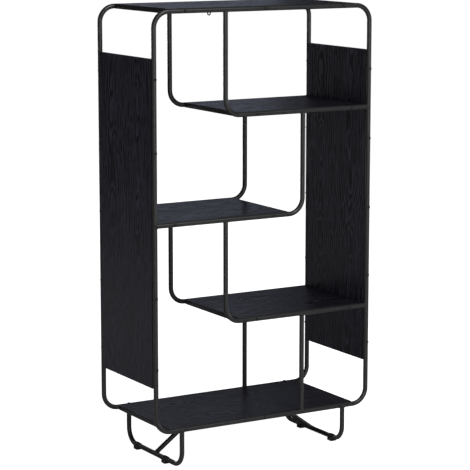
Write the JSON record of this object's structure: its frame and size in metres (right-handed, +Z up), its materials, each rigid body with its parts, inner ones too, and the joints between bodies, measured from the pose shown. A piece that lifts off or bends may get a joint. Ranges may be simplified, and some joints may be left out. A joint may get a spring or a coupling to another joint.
{
  "type": "bookcase",
  "caption": "Tall open bookcase: bent black tube frames front and back carry staggered dark wood-grain shelves, side panels and sled legs.",
  "frame": {"origin": "on the floor, in the middle of the width and of the depth", "axes": "+X to the right seen from the front, +Y from the front to the back, +Z up"},
  "size_m": [0.83, 0.3916, 1.5],
  "materials": {
    "powder_coated_tube": "matt black powder coat",
    "dark_wood_grain_board": "blue-black stained open-grain oak look, satin",
    "glide_plastic": "matt black moulded plastic",
    "black_bolt": "black oxide, satin",
    "zinc_steel": "zinc plated"
  },
  "bodies": {
    "root": {"front_outer_frame": "powder_coated_tube", "front_upper_bent_post": "powder_coated_tube", "front_middle_bent_post": "powder_coated_tube", "front_lower_bent_post": "powder_coated_tube", "front_base_post": "powder_coated_tube", "rear_outer_frame": "powder_coated_tube", "rear_upper_bent_post": "powder_coated_tube", "rear_middle_bent_post": "powder_coated_tube", "rear_lower_bent_post": "powder_coated_tube", "rear_base_post": "powder_coated_tube", "left_leg": "powder_coated_tube", "left_leg_brace": "powder_coated_tube", "left_brace_plate": "powder_coated_tube", "left_front_glide": "glide_plastic", "left_rear_glide": "glide_plastic", "left_side_panel": "dark_wood_grain_board", "right_leg": "powder_coated_tube", "right_leg_brace": "powder_coated_tube", "right_brace_plate": "powder_coated_tube", "right_front_glide": "glide_plastic", "right_rear_glide": "glide_plastic", "right_side_panel": "dark_wood_grain_board", "top_board": "dark_wood_grain_board", "upper_right_shelf": "dark_wood_grain_board", "middle_left_shelf": "dark_wood_grain_board", "lower_right_shelf": "dark_wood_grain_board", "bottom_board": "dark_wood_grain_board", "panel_bolts": "black_bolt", "board_bolts": "black_bolt", "leg_bolts": "black_bolt", "panel_inserts": "zinc_steel", "board_inserts": "zinc_steel", "leg_plugs": "zinc_steel", "brace_plate_screws": "zinc_steel", "wall_bracket": "zinc_steel", "wall_bracket_screw": "zinc_steel"}
  },
  "joints": []
}
